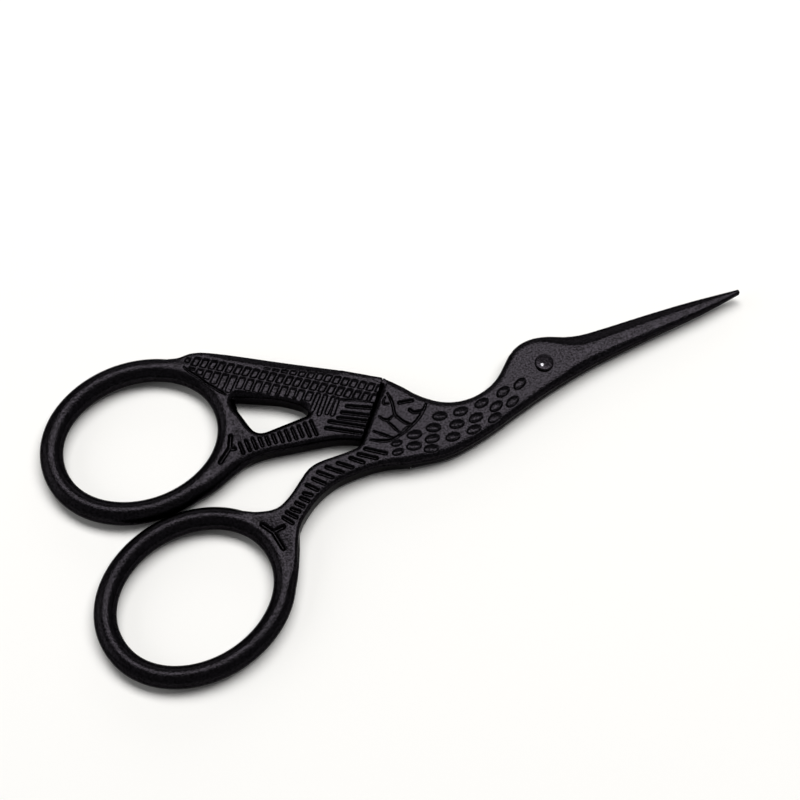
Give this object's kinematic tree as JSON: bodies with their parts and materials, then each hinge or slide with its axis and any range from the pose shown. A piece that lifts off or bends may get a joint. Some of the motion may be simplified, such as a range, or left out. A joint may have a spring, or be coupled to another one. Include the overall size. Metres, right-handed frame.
{
  "type": "embroidery scissors",
  "caption": "Small stork-shaped embroidery scissors: lapped halves with oval finger rings, a feathered wing with a window and a long beak of ridged blades, on one rivet.",
  "frame": {"origin": "on the rivet's axis, in the plane of the back face that the closed scissors lie on", "axes": "+X towards the tips, +Y towards the wing, +Z out of the front face along the rivet's axis"},
  "size_m": [0.1151, 0.0538, 0.0048],
  "materials": {
    "coated_steel": "satin black coating over forged and relief-pressed steel",
    "rivet_steel": "satin black coating, rubbed a little brighter on the dome"
  },
  "bodies": {
    "rear_half": {"rear_half": "coated_steel", "pivot_rivet": "rivet_steel"},
    "front_half": {"front_half": "coated_steel"}
  },
  "joints": [
    {"name": "pivot", "type": "hinge", "parent": "rear_half", "child": "front_half", "pos_m": [0, 0, 0.0021], "axis": [0, 0, 1], "range_deg": [0, 155]}
  ]
}
